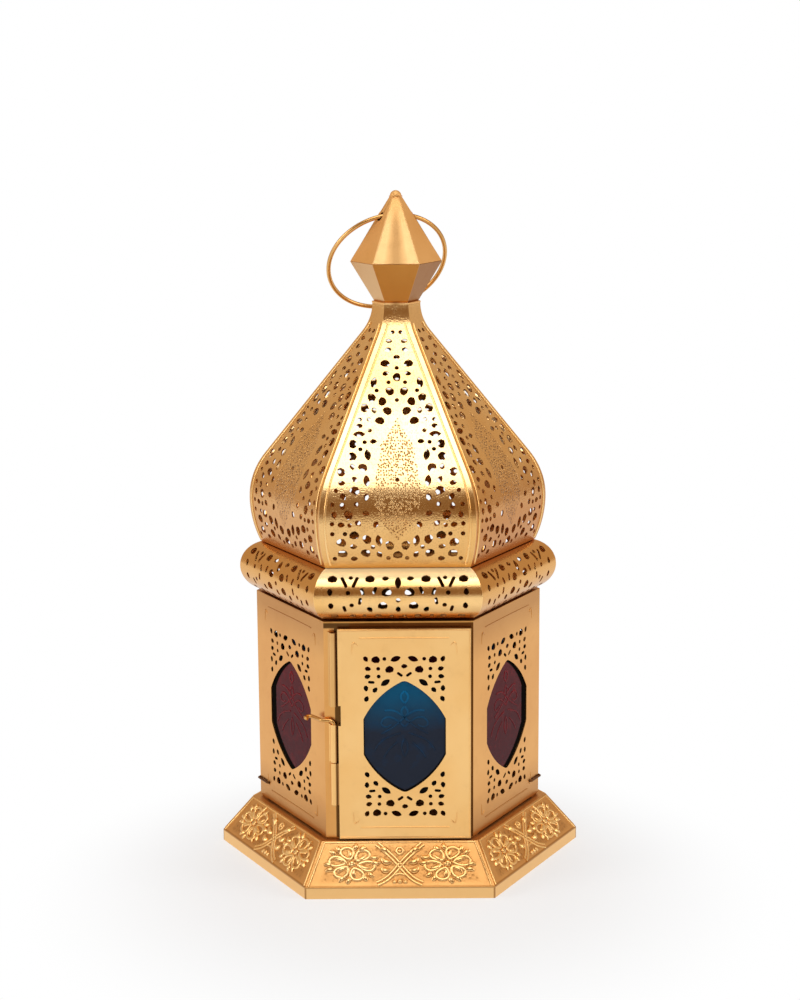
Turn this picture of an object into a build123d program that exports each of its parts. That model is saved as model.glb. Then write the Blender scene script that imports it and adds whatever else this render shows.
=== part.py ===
from build123d import *
import os
from math import asin, atan, cos, degrees, radians, sin, sqrt, tan

# Hexagonal candle lantern. It stands on z = 0 with its axis on Z. The door faces -Y, and two
# corners of the hexagon lie on X. Lengths are in millimetres and angles in degrees.
# A "flat" is the distance from the axis to the middle of a hexagon's side.

# The hexagon
side_names = ("front", "front_right", "back_right", "back", "back_left", "front_left")
corner_names = ("right", "back_right", "back_left", "left", "front_left", "front_right")
side_turn = 360 / len(side_names)
half_side_share = tan(radians(side_turn / 2))
corner_share = 1 / cos(radians(side_turn / 2))

# Sheet metal, fits and cuts
sheet = 0.6
moving_gap = 0.3
overrun = 3.0

# Base: upright rim, sloping face, folded lip on top and hem below
base_rim_flat = 66.4
base_top_flat = 54.8
base_rim_height = 4.9
base_height = 20.2
base_hem = 5.0
base_lip = 6.8

# Floor under the candle, and the candle's cup with its rivet
floor_margin = 1.3
cup_radius = 22.0
cup_height = 8.0
cup_sheet = 0.5
rivet_radius = 1.5
rivet_play = 0.1
rivet_head_radius = 3.2
rivet_head_height = 1.2

# Body: corner posts, side panels and the frame round the doorway
body_flat = 52.0
body_height = 91.25
panel_lift = 0.8
post_leg = 5.0
post_sheet = 0.8

# Ogive windows and the pierced field round them
window_rise = 44.4
window_half_width = 16.6
window_half_height = 23.7
window_straight = 7.5
window_bow = 2.0
window_tip_radius = 3.0
field_half_width = 16.6
field_half_height = 34.0
side_stretch_share = 1.09

# Glass panes and the clips that hold them
glass_thickness = 1.8
glass_lap = 2.0
clip_sheet = 0.4
clip_width = 5.0
clip_foot = 3.0
clip_tongue = 2.5
clip_spread = 14.0
clip_play = 0.2

# Door pan, the frame behind its edges and its spring catch
door_width = 53.4
door_height = 88.4
door_shift = 2.3
door_depth = 2.4
door_foot_gap = 1.0
frame_overlap = 4.7
catch_sheet = 0.5
catch_height = 10.0
catch_foot = 1.6
catch_reach = 5.2
catch_play = 0.8

# Hinge on the door's left edge, from the bottom up, and its wire pin
hinge_setback = 1.9
knuckle_radius = 1.4
knuckle_rise = 14.5
door_knuckle_length = 17.7
knuckle_gap = 0.4
jamb_knuckle_length = 15.9
arm_notch = 7.6
rolled_edge_length = 30.7
leaf_width = 2.0
web_sheet = 0.6
door_notch_depth = 1.0
pin_radius = 0.8
pin_play = 0.05
pin_tail = 0.7
arm_lift = 1.5
arm_angle = 170
arm_bend = 42
arm_leg = 5.0
arm_tip_leg = 6.0
arm_bend_radius = 1.6
curl_radius = 1.6
curl_turn = 200

# Wire ties round the two outer corners
tie_wire_radius = 0.45
tie_play = 0.25
tie_rise = 8.3
tie_reach = 8.0
tie_tail = 1.4
tie_bend_radius = 0.6

# Crown plate and the half-round eave moulding
crown_inner_flat = 40.0
eave_radius = 10.85
eave_flat = 47.05
eave_lip = 4.0
eave_border = 2.5

# Onion dome: one gore's outline, from the foot to the neck
dome_foot_flat = 50.2
dome_bulge_flat = 53.87
dome_bulge_rise = 18.75
dome_lip = 6.0
shoulder_radius = 32.9
dome_slope = 35
neck_flat = 8.57
neck_bend_radius = 20.0
gore_border = 3.2

# Neck plate and finial
neck_plate_sheet = 0.8
neck_plate_overlap = 0.2
finial_wall = 0.7
finial_foot_flat = 7.9
finial_waist_flat = 16.4
finial_cup_height = 16.3
finial_cap_height = 26.4
finial_top_flat = 2.2
finial_tip_radius = 2.4
finial_crown = 3.6

# Carry ring through the finial cap
ring_radius = 24.9
ring_wire_radius = 0.9
ring_play = 0.8
ring_hole_drop = 8.2
ring_yaw = 16
ring_lean = 35

# Holes of the piercing, at their size in the dome and the eave, and the share of it in the panels
dot_radius = 0.9
seed_length, seed_width = 2.9, 2.2
pebble_length, pebble_width = 4.0, 3.4
leaf_length, leaf_bow = 5.0, 1.3
bar_length, bar_width = 3.0, 1.3
slit_length, slit_width = 5.0, 1.4
panel_hole_share = 0.88

# Uneven outlines of the cut seeds and pebbles: a corner's angle, and its reach as a share of the half size
seed_outline_shares = ((0, 1.06), (52, 0.95), (104, 1.04), (158, 0.98), (208, 1.04), (258, 1.06), (308, 0.92))
pebble_outline_shares = (
    (0, 1.02), (38, 0.98), (82, 1.08), (126, 0.96), (170, 0.98), (214, 1.10), (262, 0.96), (314, 1.08),
)

# Piercing of a panel: across and up as shares of the field's half sizes, kind and turn.
# The rows give the upper right quarter, which is mirrored both ways.
panel_hole_shares = (
    (0.21, 0.96, "leaf", -20), (0.48, 0.96, "dot", 0), (0.69, 0.95, "pebble", 10), (0.93, 0.96, "seed", 60),
    (0.00, 0.87, "seed", 0), (0.36, 0.83, "pebble", -10), (0.63, 0.84, "dot", 0), (0.88, 0.84, "seed", 15),
    (0.11, 0.77, "bar", 35), (0.62, 0.745, "dot", 0), (0.89, 0.745, "seed", -10),
    (0.46, 0.67, "leaf", -35), (0.80, 0.675, "bar", 5),
    (0.71, 0.58, "seed", -50), (0.93, 0.60, "seed", 85),
    (0.92, 0.47, "seed", -65),
)

# Piercing of a gore: across as a share of its half width inside the border, along as a share
# of its outline from foot to neck, kind and turn. The rows give the right half.
gore_hole_shares = (
    (0.45, 0.90, "dot", 0), (0.64, 0.865, "seed", 10), (0.56, 0.83, "seed", -10), (0.00, 0.80, "seed", 0),
    (0.57, 0.775, "pebble", 10), (0.00, 0.757, "dot", 0), (0.46, 0.735, "seed", -15),
    (0.00, 0.72, "pebble", 90), (0.84, 0.70, "leaf", 105), (0.30, 0.70, "dot", 0),
    (0.23, 0.665, "pebble", 60), (0.66, 0.668, "dot", 0), (0.76, 0.64, "pebble", 75), (0.00, 0.63, "dot", 0),
    (0.42, 0.625, "pebble", 100), (0.87, 0.60, "pebble", 95), (0.60, 0.59, "seed", 80),
    (0.25, 0.588, "pebble", 45), (0.68, 0.555, "dot", 0), (0.90, 0.555, "dot", 0), (0.41, 0.55, "pebble", 20),
    (0.86, 0.53, "seed", 0), (0.60, 0.512, "dot", 0), (0.81, 0.498, "leaf", 0), (0.48, 0.47, "seed", 0),
    (0.65, 0.467, "dot", 0), (0.87, 0.46, "pebble", 90), (0.70, 0.44, "dot", 0), (0.54, 0.418, "leaf", 80),
    (0.81, 0.412, "pebble", 85), (0.76, 0.373, "seed", 80), (0.58, 0.37, "pebble", 35),
    (0.92, 0.353, "pebble", 75), (0.67, 0.325, "seed", 60), (0.00, 0.323, "dot", 0), (0.48, 0.32, "leaf", 85),
    (0.86, 0.312, "seed", 0), (0.64, 0.285, "pebble", 25), (0.92, 0.285, "dot", 0), (0.80, 0.264, "seed", 60),
    (0.46, 0.262, "seed", 100), (0.60, 0.237, "dot", 0), (0.94, 0.236, "dot", 0), (0.79, 0.23, "seed", 90),
    (0.45, 0.205, "seed", 20), (0.70, 0.20, "pebble", 60), (0.90, 0.20, "seed", 90), (0.56, 0.17, "seed", 40),
    (0.93, 0.168, "dot", 0), (0.31, 0.166, "seed", 120), (0.80, 0.165, "seed", 10), (0.68, 0.163, "dot", 0),
    (0.93, 0.132, "dot", 0), (0.75, 0.132, "dot", 0), (0.62, 0.127, "pebble", 0), (0.44, 0.112, "pebble", 60),
    (0.27, 0.107, "leaf", 80), (0.81, 0.10, "pebble", 20), (0.115, 0.089, "pebble", 70),
    (0.64, 0.085, "seed", 0), (0.36, 0.083, "dot", 0), (0.47, 0.06, "pebble", 30), (0.81, 0.058, "pebble", 0),
    (0.27, 0.054, "seed", 60), (0.00, 0.052, "pebble", 0), (0.14, 0.04, "dot", 0), (0.65, 0.038, "seed", 0),
    (0.94, 0.038, "dot", 0),
)

# Piercing of an eave strip: across inside its border, along its half circle from the bottom up.
eave_hole_shares = (
    (0.89, 0.74, "pebble", 0), (0.72, 0.70, "slit", 65), (0.57, 0.70, "slit", 115),
    (0.645, 0.755, "dot", 0),
    (0.38, 0.74, "pebble", 0), (0.17, 0.745, "seed", 0), (0.00, 0.69, "leaf", 90),
    (0.88, 0.58, "seed", 90), (0.645, 0.57, "dot", 0), (0.46, 0.585, "bar", 70), (0.30, 0.60, "bar", 110),
    (0.15, 0.575, "pebble", 0), (0.87, 0.41, "seed", 90), (0.70, 0.37, "bar", 75), (0.60, 0.42, "dot", 0),
    (0.49, 0.47, "bar", 100), (0.37, 0.36, "seed", 60), (0.20, 0.41, "pebble", 0),
    (0.00, 0.48, "dot", 0), (0.00, 0.36, "seed", 90),
    (0.87, 0.25, "bar", 0), (0.62, 0.25, "seed", 0), (0.46, 0.25, "dot", 0), (0.27, 0.25, "seed", 0),
    (0.09, 0.24, "dot", 0),
)

# Heights of the stack, from the base up
body_top = base_height + body_height
eave_foot = body_top + sheet
eave_top = eave_foot + 2 * eave_radius
bulge_height = eave_top + dome_bulge_rise
window_height = base_height + window_rise
door_foot = base_height + door_foot_gap
door_top = door_foot + door_height

# Distances derived for the body and door
panel_back_flat = body_flat - sheet
door_back_flat = body_flat + moving_gap
door_front_flat = door_back_flat + door_depth
door_left = door_shift - door_width / 2
door_right = door_shift + door_width / 2
opening_left = door_left + frame_overlap
opening_right = door_right - frame_overlap
opening_foot = door_foot + frame_overlap
opening_top = door_top - frame_overlap
hinge_x = door_left - hinge_setback
hinge_y = -(door_back_flat + knuckle_radius)

# Heights of the hinge
door_knuckle_foot = door_foot + knuckle_rise
jamb_knuckle_foot = door_knuckle_foot + door_knuckle_length + knuckle_gap
notch_foot = jamb_knuckle_foot + jamb_knuckle_length
rolled_edge_foot = notch_foot + arm_notch

# Centres of the dome's arcs, as flat and height, and the height of its neck
slope = radians(dome_slope)
bulge_drop = dome_bulge_flat - dome_foot_flat
foot_radius = (dome_bulge_rise ** 2 + bulge_drop ** 2) / (2 * bulge_drop)
foot_angle = degrees(asin(dome_bulge_rise / foot_radius))
shoulder_flat = dome_bulge_flat - shoulder_radius
slope_start = (shoulder_flat + shoulder_radius * cos(slope), bulge_height + shoulder_radius * sin(slope))
neck_centre_flat = neck_flat + neck_bend_radius
slope_end_flat = neck_centre_flat - neck_bend_radius * cos(slope)
slope_end = (slope_end_flat, slope_start[1] + (slope_start[0] - slope_end_flat) / tan(slope))
neck_height = slope_end[1] + neck_bend_radius * sin(slope)

# Heights of the finial and the carry ring's holes
finial_foot = neck_height + neck_plate_sheet
finial_waist = finial_foot + finial_cup_height
finial_top = finial_waist + finial_cap_height
ring_height = finial_top - ring_hole_drop
cap_lean_share = (finial_waist_flat - finial_top_flat) / finial_cap_height
ring_hole_flat = finial_waist_flat - cap_lean_share * (ring_height - finial_waist)
ring_half_chord = ring_hole_flat / cos(radians(side_turn / 2 - ring_yaw))

# Planes: a side's upright section, seen with outwards to the right, and a side's face
section_plane = Plane((0, 0, 0), x_dir=(0, -1, 0), z_dir=(-1, 0, 0))
LOW = (Align.CENTER, Align.CENTER, Align.MIN)


def hexagon(flat):
    return RegularPolygon(flat, len(side_names), major_radius=False)


def hexagon_ring(outer_flat, inner_flat, height):
    return extrude(hexagon(outer_flat) - hexagon(inner_flat), height)


def block(x_range, y_range, z_range):
    size = [high - low for low, high in (x_range, y_range, z_range)]
    corner = Pos(x_range[0], y_range[0], z_range[0])
    return corner * Box(*size, align=(Align.MIN, Align.MIN, Align.MIN))


def side_wedge():
    reach = base_rim_flat + body_flat
    half = reach * half_side_share
    outline = Polygon((0, 0), (-half, -reach), (half, -reach), align=None)
    return Pos(0, 0, -overrun) * extrude(outline, finial_top + 2 * overrun)


def mitred(solid):
    return solid & side_wedge()


def bent_strip(outline, thickness):
    """A side's strip of sheet, bent to an outline of flats and heights and mitred at both ends."""
    rim = offset(outline, thickness, kind=Kind.INTERSECTION, side=Side.LEFT, closed=True)
    section = section_plane * make_face(rim.edges())
    return mitred(extrude(section, base_rim_flat, both=True))


def arc_about(centre, radius, first, last):
    angles = [radians(first + share * (last - first)) for share in (0, 0.5, 1)]
    points = [(centre[0] + radius * cos(a), centre[1] + radius * sin(a)) for a in angles]
    return ThreePointArc(*points)


def leaf():
    half = leaf_length / 2
    edges = [SagittaArc((-half, 0), (half, 0), leaf_bow), SagittaArc((half, 0), (-half, 0), leaf_bow)]
    return make_face(edges)


def uneven_hole(length, width, outline_shares):
    points = []
    for angle, reach in outline_shares:
        points.append((reach * length / 2 * cos(radians(angle)), reach * width / 2 * sin(radians(angle))))
    return Polygon(*points, align=None)


hole_shapes = {
    "dot": Circle(dot_radius),
    "seed": uneven_hole(seed_length, seed_width, seed_outline_shares),
    "pebble": uneven_hole(pebble_length, pebble_width, pebble_outline_shares),
    "leaf": leaf(),
    "bar": SlotOverall(bar_length, bar_width),
    "slit": SlotOverall(slit_length, slit_width),
}


def both_hands(share):
    return (1, -1) if share else (1,)


def pierced_strip(strip, line, border, hole_shares):
    """Cuts holes square to a bent strip, placed along its outline and across its width."""
    cutters = []
    for across, along, kind, turn in hole_shares:
        spot = line @ along
        outwards = Vector(1, 0, 0).cross(line % along)
        half_width = -spot.Y * half_side_share - border
        for hand in both_hands(across):
            shift = Vector(hand * across * half_width, 0, 0)
            spot_plane = Plane(spot + shift, x_dir=(1, 0, 0), z_dir=outwards)
            shape = spot_plane * Rot(0, 0, hand * turn) * hole_shapes[kind]
            cutters.append(extrude(shape, overrun, both=True))
    return strip - cutters


def ogive(half_width, half_height):
    """Window outline: upright sides and bowed arches that meet in a blunt tip above and below."""
    right = Line((half_width, -window_straight), (half_width, window_straight))
    left = Line((-half_width, window_straight), (-half_width, -window_straight))
    arches = []
    for hand in (1, -1):
        tip = (0, hand * half_height)
        arches.append(SagittaArc((hand * half_width, hand * window_straight), tip, -window_bow))
        arches.append(SagittaArc(tip, (-hand * half_width, hand * window_straight), -window_bow))
    face = make_face([right, left] + arches)
    tips = [corner for corner in face.vertices() if abs(corner.X) < half_width / 2]
    return fillet(tips, window_tip_radius)


def window_and_field(stretch):
    """Window and piercing of one panel, about the window's middle."""
    cuts = [ogive(window_half_width * stretch, window_half_height)]
    for across, up, kind, turn in panel_hole_shares:
        for hand in both_hands(across):
            for flip in (1, -1):
                spot = Pos(hand * across * field_half_width * stretch, flip * up * field_half_height)
                hole = scale(hole_shapes[kind], panel_hole_share)
                cuts.append(spot * Rot(0, 0, hand * flip * turn) * hole)
    return cuts


def face_plane(flat, x, z):
    """A side's face, seen from outside, with its origin at x and z."""
    return Plane((x, -flat, z), x_dir=(1, 0, 0), z_dir=(0, -1, 0))


def base_panel():
    outline = Polyline(
        (base_rim_flat - base_hem, 0),
        (base_rim_flat, 0),
        (base_rim_flat, base_rim_height),
        (base_top_flat, base_height),
        (base_top_flat - base_lip, base_height),
    )
    return bent_strip(outline, sheet)


def floor_plate():
    plate = extrude(hexagon(base_top_flat - floor_margin), sheet)
    hole = Cylinder(rivet_radius + rivet_play, overrun, align=LOW)
    return Pos(0, 0, base_height - 2 * sheet) * (plate - hole)


def candle_cup():
    cup = Cylinder(cup_radius, cup_height, align=LOW)
    cup -= Pos(0, 0, cup_sheet) * Cylinder(cup_radius - cup_sheet, cup_height, align=LOW)
    cup -= Cylinder(rivet_radius + rivet_play, overrun, align=LOW)
    return Pos(0, 0, base_height - sheet) * cup


def candle_cup_rivet():
    floor_under = base_height - 2 * sheet
    grip = sheet + cup_sheet
    shank = Pos(0, 0, floor_under) * Cylinder(rivet_radius, grip, align=LOW)
    head = Cylinder(rivet_head_radius, rivet_head_height, align=LOW)
    round_head = fillet(head.edges().sort_by(Axis.Z)[-1], rivet_head_height / 2)
    top_head = Pos(0, 0, floor_under + grip) * round_head
    low_head = Pos(0, 0, floor_under - rivet_head_height) * head
    return shank + top_head + low_head


def corner_post():
    corner_x = panel_back_flat * corner_share
    ring = Pos(0, 0, base_height) * hexagon_ring(panel_back_flat, panel_back_flat - post_sheet, body_height)
    leg_run = post_leg * sin(radians(side_turn / 2))
    near_corner = block((corner_x - leg_run, corner_x), (-post_leg, post_leg), (0, body_top))
    return ring & near_corner


def tie_hole(hand):
    """Hole in a side panel for a corner tie, hand being the panel's end, seen from outside."""
    spot = face_plane(body_flat, hand * (body_flat * half_side_share - tie_reach), base_height + tie_rise)
    return extrude(spot * Circle(tie_wire_radius + tie_play), overrun, both=True)


def side_panel(tied_end):
    outline = Rectangle(2 * body_flat, body_height - panel_lift)
    middle = base_height + (body_height + panel_lift) / 2
    cuts = [Pos(0, window_height - middle) * cut for cut in window_and_field(side_stretch_share)]
    face = face_plane(body_flat, 0, middle) * (outline - cuts)
    panel = mitred(extrude(face, -sheet))
    return panel - tie_hole(tied_end) if tied_end else panel


def frame_strip(x_range, z_range):
    """A flat strip of the frame round the doorway, in the plane of the side panels."""
    return mitred(block(x_range, (-body_flat, -panel_back_flat), z_range))


def glass_pane(face_flat, middle_x, stretch):
    width = 2 * (window_half_width * stretch + glass_lap)
    height = 2 * (window_half_height + glass_lap)
    plane = face_plane(face_flat, middle_x, window_height)
    return extrude(plane * Rectangle(width, height), -glass_thickness)


def glass_clips(face_flat, middle_x, stretch):
    """Four bent clips: a foot on the panel, a step past the pane's edge and a tongue over its back."""
    edge = window_half_width * stretch + glass_lap
    step = edge + clip_play
    front = -face_flat
    back = front + glass_thickness
    clips = []
    for hand in (1, -1):
        points = [
            (step + clip_foot, front), (step, front), (step, back), (edge - clip_tongue, back),
            (edge - clip_tongue, back + clip_sheet), (step + clip_sheet, back + clip_sheet),
            (step + clip_sheet, front + clip_sheet), (step + clip_foot, front + clip_sheet),
        ]
        outline = make_face(Polyline(*[(middle_x + hand * x, y) for x, y in points], close=True))
        for flip in (1, -1):
            foot = window_height + flip * clip_spread - clip_width / 2
            clips.append(extrude(Pos(0, 0, foot) * outline, clip_width, dir=(0, 0, 1)))
    return Compound(clips)


def door_panel():
    outside = block((door_left, door_right), (-door_front_flat, -door_back_flat), (door_foot, door_top))
    inside = block(
        (door_left + sheet, door_right - sheet),
        (sheet - door_front_flat, overrun - door_back_flat),
        (door_foot + sheet, door_top - sheet),
    )
    notch = block(
        (door_left - overrun, door_left + door_notch_depth),
        (-door_front_flat - overrun, overrun - door_back_flat),
        (notch_foot - knuckle_gap, rolled_edge_foot + knuckle_gap),
    )
    plane = face_plane(door_front_flat, door_shift, window_height)
    cutters = [extrude(plane * cut, overrun, both=True) for cut in window_and_field(1)]
    return outside - [inside, notch] - cutters


def hinge_tube(radius, foot, length):
    return Pos(hinge_x, hinge_y, foot) * Cylinder(radius, length, align=LOW)


def door_knuckle():
    """Tube round the pin, joined by a web to a foot on the door's edge."""
    z_range = (door_knuckle_foot, door_knuckle_foot + door_knuckle_length)
    foot = block((door_left - web_sheet, door_left), (-door_front_flat, -door_back_flat), z_range)
    web = block((hinge_x, door_left), (hinge_y - web_sheet / 2, hinge_y + web_sheet / 2), z_range)
    tube = hinge_tube(knuckle_radius, door_knuckle_foot, door_knuckle_length)
    bore = hinge_tube(pin_radius + pin_play, door_knuckle_foot, door_knuckle_length)
    return foot + web + tube - bore


def jamb_rolls():
    """Knuckle and rolled edge on the left jamb, each with the leaf that it is rolled from."""
    rolls = []
    for foot, length in ((jamb_knuckle_foot, jamb_knuckle_length), (rolled_edge_foot, rolled_edge_length)):
        leaf_y = (hinge_y + pin_radius + pin_play, -body_flat)
        leaf_plate = block((hinge_x - leaf_width, hinge_x), leaf_y, (foot, foot + length))
        tube = hinge_tube(knuckle_radius, foot, length)
        rolls.append(leaf_plate + tube - hinge_tube(pin_radius + pin_play, foot, length))
    return Compound(rolls)


def hinge_pin():
    """Wire through the knuckles, bent over the jamb into an arm that ends in a curl."""
    def step(start, length, angle):
        return start + Vector(length * cos(radians(angle)), length * sin(radians(angle)), 0)

    foot = Vector(hinge_x, hinge_y, door_knuckle_foot - pin_tail)
    top = Vector(hinge_x, hinge_y, notch_foot + arm_lift)
    elbow = step(top, arm_leg, arm_angle)
    tip = step(elbow, arm_tip_leg, arm_angle - arm_bend)
    run = FilletPolyline(foot, top, elbow, tip, radius=arm_bend_radius)
    curl = JernArc(tip, run % 1, curl_radius, curl_turn)
    path = Wire(run.edges() + curl.edges())
    return sweep(Plane(foot, z_dir=(0, 0, 1)) * Circle(pin_radius), path=path)


def door_catch():
    """Spring strip on the door's back that bears on the right jamb's edge."""
    riser = opening_right - catch_play
    front = sheet - door_front_flat
    z_range = (window_height - catch_height / 2, window_height + catch_height / 2)
    foot = block((riser - catch_sheet - catch_foot, riser), (front, front + catch_sheet), z_range)
    strip = block((riser - catch_sheet, riser), (front, front + catch_reach), z_range)
    return foot + strip


def corner_ties():
    """A wire through both panels at the left and right corners, bent round the corner."""
    height = base_height + tie_rise
    stand_off = tie_wire_radius + tie_play
    corner = Vector(body_flat * corner_share, 0, height)
    ties = []
    for turn in (0, 180):
        route = [corner + Vector(stand_off * corner_share, 0, 0)]
        for hand in (1, -1):
            angle = radians(hand * side_turn / 2)
            normal = Vector(cos(angle), sin(angle), 0)
            along = Vector(-sin(angle), cos(angle), 0) * hand
            hole = corner + along * tie_reach
            ends = [hole + normal * stand_off, hole - normal * (sheet + tie_tail)]
            route = route + ends if hand > 0 else ends[::-1] + route
        path = FilletPolyline(*route, radius=tie_bend_radius)
        section = Plane(path @ 0, z_dir=path % 0) * Circle(tie_wire_radius)
        ties.append(Rot(0, 0, turn) * sweep(section, path=path))
    return Compound(ties)


def crown_plate():
    return Pos(0, 0, body_top) * hexagon_ring(body_flat, crown_inner_flat, sheet)


def eave_strip():
    foot = (eave_flat, eave_foot)
    half_circle = arc_about((eave_flat, eave_foot + eave_radius), eave_radius, -90, 90)
    low_lip = Line((eave_flat - eave_lip, eave_foot), foot)
    high_lip = Line((eave_flat, eave_top), (eave_flat - eave_lip, eave_top))
    strip = bent_strip(Wire([low_lip, half_circle, high_lip]), sheet)
    return pierced_strip(strip, section_plane * half_circle, eave_border, eave_hole_shares)


def dome_gore():
    neck_centre = (neck_centre_flat, neck_height)
    curve = [
        arc_about((dome_bulge_flat - foot_radius, bulge_height), foot_radius, -foot_angle, 0),
        arc_about((shoulder_flat, bulge_height), shoulder_radius, 0, dome_slope),
        Line(slope_start, slope_end),
        arc_about(neck_centre, neck_bend_radius, 180 + dome_slope, 180),
    ]
    lip = Line((dome_foot_flat - dome_lip, eave_top), (dome_foot_flat, eave_top))
    strip = bent_strip(Wire([lip] + curve), sheet)
    return pierced_strip(strip, section_plane * Wire(curve), gore_border, gore_hole_shares)


def neck_plate():
    return Pos(0, 0, neck_height) * extrude(hexagon(neck_flat + neck_plate_overlap), neck_plate_sheet)


def finial_cup():
    flare = -degrees(atan((finial_waist_flat - finial_foot_flat) / finial_cup_height))
    cup = extrude(hexagon(finial_foot_flat), finial_cup_height, taper=flare)
    hollow = extrude(hexagon(finial_foot_flat - finial_wall), finial_cup_height, taper=flare)
    return Pos(0, 0, finial_foot) * (cup - hollow)


def finial_cap():
    taper = degrees(atan(cap_lean_share))
    cap = extrude(hexagon(finial_waist_flat), finial_cap_height, taper=taper)
    cap += Pos(0, 0, finial_cap_height) * Sphere(finial_tip_radius)
    cap -= extrude(hexagon(finial_waist_flat - finial_wall), finial_cap_height - finial_crown, taper=taper)
    drill = Cylinder(ring_wire_radius + ring_play, 2 * finial_waist_flat)
    holes = Pos(0, 0, ring_height - finial_waist) * Rot(0, 0, ring_yaw) * Rot(0, 90, 0) * drill
    return Pos(0, 0, finial_waist) * (cap - holes)


def carry_ring():
    drop = sqrt(ring_radius ** 2 - ring_half_chord ** 2)
    upright = Pos(0, 0, -drop) * Rot(90, 0, 0) * Torus(ring_radius, ring_wire_radius)
    return Pos(0, 0, ring_height) * Rot(0, 0, ring_yaw) * Rot(ring_lean, 0, 0) * upright


def on_side(shape, index):
    return Rot(0, 0, side_turn * index) * shape


def lantern():
    """Every piece of the lantern under its own name."""
    pieces = {
        "floor_plate": floor_plate(),
        "candle_cup": candle_cup(),
        "candle_cup_rivet": candle_cup_rivet(),
        "corner_ties": corner_ties(),
        "door_panel": door_panel(),
        "door_knuckle": door_knuckle(),
        "door_catch": door_catch(),
        "jamb_rolls": jamb_rolls(),
        "hinge_pin": hinge_pin(),
        "crown_plate": crown_plate(),
        "neck_plate": neck_plate(),
        "finial_cup": finial_cup(),
        "finial_cap": finial_cap(),
        "carry_ring": carry_ring(),
    }

    frame_foot = base_height + panel_lift
    pieces["door_jamb_left"] = frame_strip((-body_flat, opening_left), (frame_foot, body_top))
    pieces["door_jamb_right"] = frame_strip((opening_right, body_flat), (frame_foot, body_top))
    pieces["door_sill"] = frame_strip((opening_left, opening_right), (frame_foot, opening_foot))
    pieces["door_head"] = frame_strip((opening_left, opening_right), (opening_top, body_top))

    base, gore, eave, post = base_panel(), dome_gore(), eave_strip(), corner_post()
    door_face = door_front_flat - sheet
    door_set = (door_face, door_shift, 1)
    side_set = (panel_back_flat, 0, side_stretch_share)
    tied_ends = {"front_right": 1, "back_right": -1, "back_left": 1, "front_left": -1}
    panels = {end: side_panel(end) for end in (1, -1, 0)}
    for index, name in enumerate(side_names):
        pieces[f"base_panel_{name}"] = on_side(base, index)
        pieces[f"eave_strip_{name}"] = on_side(eave, index)
        pieces[f"dome_gore_{name}"] = on_side(gore, index)
        pieces[f"corner_post_{corner_names[index]}"] = on_side(post, index)
        glass_set = side_set if index else door_set
        pieces[f"glass_pane_{name}"] = on_side(glass_pane(*glass_set), index)
        pieces[f"glass_clips_{name}"] = on_side(glass_clips(*glass_set), index)
        if index:
            pieces[f"side_panel_{name}"] = on_side(panels[tied_ends.get(name, 0)], index)
    return pieces


os.makedirs("parts", exist_ok=True)
for piece_name, piece in lantern().items():
    export_step(piece, f"parts/{piece_name}.step")
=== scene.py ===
# %% [markdown]
# # A pierced gold lantern
# The lantern is folded from thin gold-lacquered sheet: a flared base with a stamped scroll, a glazed
# six-sided body, a half-round eave, an onion dome and a pointed finial with a carry ring.
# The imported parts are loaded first. They keep their shape and place, and everything below only adds
# finishes, stamped relief, a floor, light and a camera around them.

from math import cos, pi, radians, sin, sqrt, tan

import bmesh
import bpy
from mathutils import Matrix, Vector


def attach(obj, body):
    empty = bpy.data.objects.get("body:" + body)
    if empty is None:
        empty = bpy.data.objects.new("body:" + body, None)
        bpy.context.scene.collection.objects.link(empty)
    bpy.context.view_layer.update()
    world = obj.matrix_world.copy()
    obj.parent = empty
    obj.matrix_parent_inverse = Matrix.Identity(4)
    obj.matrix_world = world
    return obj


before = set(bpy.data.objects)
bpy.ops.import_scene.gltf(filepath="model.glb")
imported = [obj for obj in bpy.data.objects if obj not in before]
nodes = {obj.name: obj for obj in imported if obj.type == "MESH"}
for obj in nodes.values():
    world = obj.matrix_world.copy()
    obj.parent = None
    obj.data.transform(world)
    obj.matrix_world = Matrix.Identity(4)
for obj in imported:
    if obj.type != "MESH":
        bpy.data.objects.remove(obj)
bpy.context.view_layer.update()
MM = 0.001
SIDES = ("front", "front_right", "back_right", "back", "back_left", "front_left")
SIDE_TURN = 2 * pi / len(SIDES)
HALF_SIDE = tan(SIDE_TURN / 2)

# %% [markdown]
# ## Small tools for shader nodes
# Every finish below is a handful of shader nodes. Short helpers make a node with its settings, join two
# sockets and do sums between them, so that a finish reads as a list of what it is made of.

# %% Node helpers
def add_node(tree, kind, values=None, **settings):
    node = tree.nodes.new(kind)
    for name, value in settings.items():
        setattr(node, name, value)
    for socket, value in (values or {}).items():
        node.inputs[socket].default_value = value
    return node


def join(tree, source, target):
    """Joins another node's socket to a target, or gives the target a plain value."""
    if isinstance(source, bpy.types.NodeSocket):
        tree.links.new(source, target)
    else:
        target.default_value = source


def maths(tree, operation, *inputs):
    """A maths node whose inputs are numbers or other nodes' sockets."""
    node = add_node(tree, "ShaderNodeMath", operation=operation)
    for index, value in enumerate(inputs):
        join(tree, value, node.inputs[index])
    return node.outputs[0]


def flipped(tree, mask):
    """1 where a mask is 0, and 0 where it is 1."""
    return maths(tree, "SUBTRACT", 1.0, mask)


def parts_of(tree, vector):
    """The X, Y and Z of a vector."""
    node = add_node(tree, "ShaderNodeSeparateXYZ")
    join(tree, vector, node.inputs[0])
    return node.outputs


def map_range(tree, value, limits, **settings):
    """A value stretched from one range to another, and held within it."""
    node = add_node(tree, "ShaderNodeMapRange", limits, **settings)
    join(tree, value, node.inputs["Value"])
    return node.outputs[0]


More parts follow.
